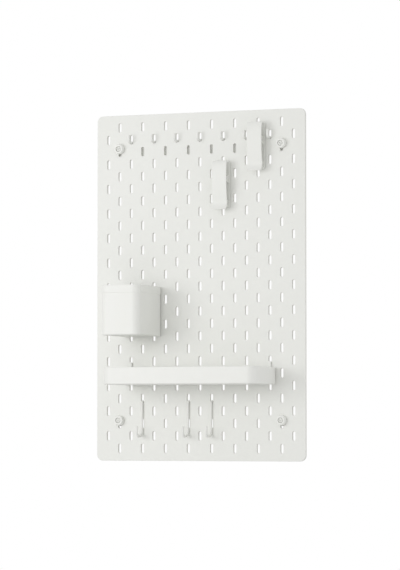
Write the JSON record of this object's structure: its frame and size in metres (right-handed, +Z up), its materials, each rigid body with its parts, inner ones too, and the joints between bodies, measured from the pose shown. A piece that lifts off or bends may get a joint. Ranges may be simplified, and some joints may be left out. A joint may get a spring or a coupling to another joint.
{
  "type": "pegboard tool wall",
  "caption": "White slotted pegboard on screwed wall spacers, with a rail of small hooks, spring clips, an open cup, a shelf tray and wire hooks hung in its slots.",
  "frame": {"origin": "on the wall plane, behind the middle of the board", "axes": "+X to the viewer's right, +Y into the wall, +Z up"},
  "size_m": [0.36, 0.142, 0.56],
  "materials": {
    "board_paint": "fibreboard with a smooth white lacquer, satin",
    "white_plastic": "moulded white plastic, satin",
    "white_steel": "fine white powder coat on steel",
    "zinc_steel": "bright zinc plate"
  },
  "bodies": {
    "board": {"pegboard_panel": "board_paint", "wall_spacer_1": "white_plastic", "mount_collar_1": "white_plastic", "wall_screw_1": "white_steel", "wall_spacer_2": "white_plastic", "mount_collar_2": "white_plastic", "wall_screw_2": "white_steel", "wall_spacer_3": "white_plastic", "mount_collar_3": "white_plastic", "wall_screw_3": "white_steel", "wall_spacer_4": "white_plastic", "mount_collar_4": "white_plastic", "wall_screw_4": "white_steel"},
    "hook_rail": {"hook_rail_strip": "white_steel", "rail_hook_1": "white_steel", "rail_hook_2": "white_steel", "rail_hook_3": "white_steel", "rail_hook_4": "white_steel", "rail_hook_5": "white_steel", "rail_hook_6": "white_steel", "rail_hook_7": "white_steel"},
    "clip_a_base": {"clip_a_back": "white_plastic", "clip_a_pin": "zinc_steel", "clip_a_spring": "zinc_steel"},
    "clip_a_arm": {"clip_a_lever": "white_plastic"},
    "clip_b_base": {"clip_b_back": "white_plastic", "clip_b_pin": "zinc_steel", "clip_b_spring": "zinc_steel"},
    "clip_b_arm": {"clip_b_lever": "white_plastic"},
    "cup": {"container_cup": "white_plastic"},
    "tray": {"shelf_tray": "white_steel"},
    "wire_hook_1": {"peg_hook_1": "white_steel"},
    "wire_hook_2": {"peg_hook_2": "white_steel"},
    "wire_hook_3": {"peg_hook_3": "white_steel"}
  },
  "joints": [
    {"name": "hook_rail_lift", "type": "slide", "parent": "board", "child": "hook_rail", "axis": [0, 0, 1], "range_m": [0, 0.009]},
    {"name": "clip_a_lift", "type": "slide", "parent": "board", "child": "clip_a_base", "axis": [0, 0, 1], "range_m": [0, 0.007]},
    {"name": "clip_b_lift", "type": "slide", "parent": "board", "child": "clip_b_base", "axis": [0, 0, 1], "range_m": [0, 0.007]},
    {"name": "cup_lift", "type": "slide", "parent": "board", "child": "cup", "axis": [0, 0, 1], "range_m": [0, 0.007]},
    {"name": "tray_lift", "type": "slide", "parent": "board", "child": "tray", "axis": [0, 0, 1], "range_m": [0, 0.007]},
    {"name": "wire_hook_1_lift", "type": "slide", "parent": "board", "child": "wire_hook_1", "axis": [0, 0, 1], "range_m": [0, 0.009]},
    {"name": "wire_hook_2_lift", "type": "slide", "parent": "board", "child": "wire_hook_2", "axis": [0, 0, 1], "range_m": [0, 0.009]},
    {"name": "wire_hook_3_lift", "type": "slide", "parent": "board", "child": "wire_hook_3", "axis": [0, 0, 1], "range_m": [0, 0.009]},
    {"name": "clip_a_squeeze", "type": "hinge", "parent": "clip_a_base", "child": "clip_a_arm", "pos_m": [0.04, -0.029, 0.171], "axis": [-1, 0, 0], "range_deg": [0, 14], "stiffness_Nm_per_rad": 0.08, "springref_deg": -40.11},
    {"name": "clip_b_squeeze", "type": "hinge", "parent": "clip_b_base", "child": "clip_b_arm", "pos_m": [0.1, -0.029, 0.231], "axis": [-1, 0, 0], "range_deg": [0, 14], "stiffness_Nm_per_rad": 0.08, "springref_deg": -40.11}
  ]
}
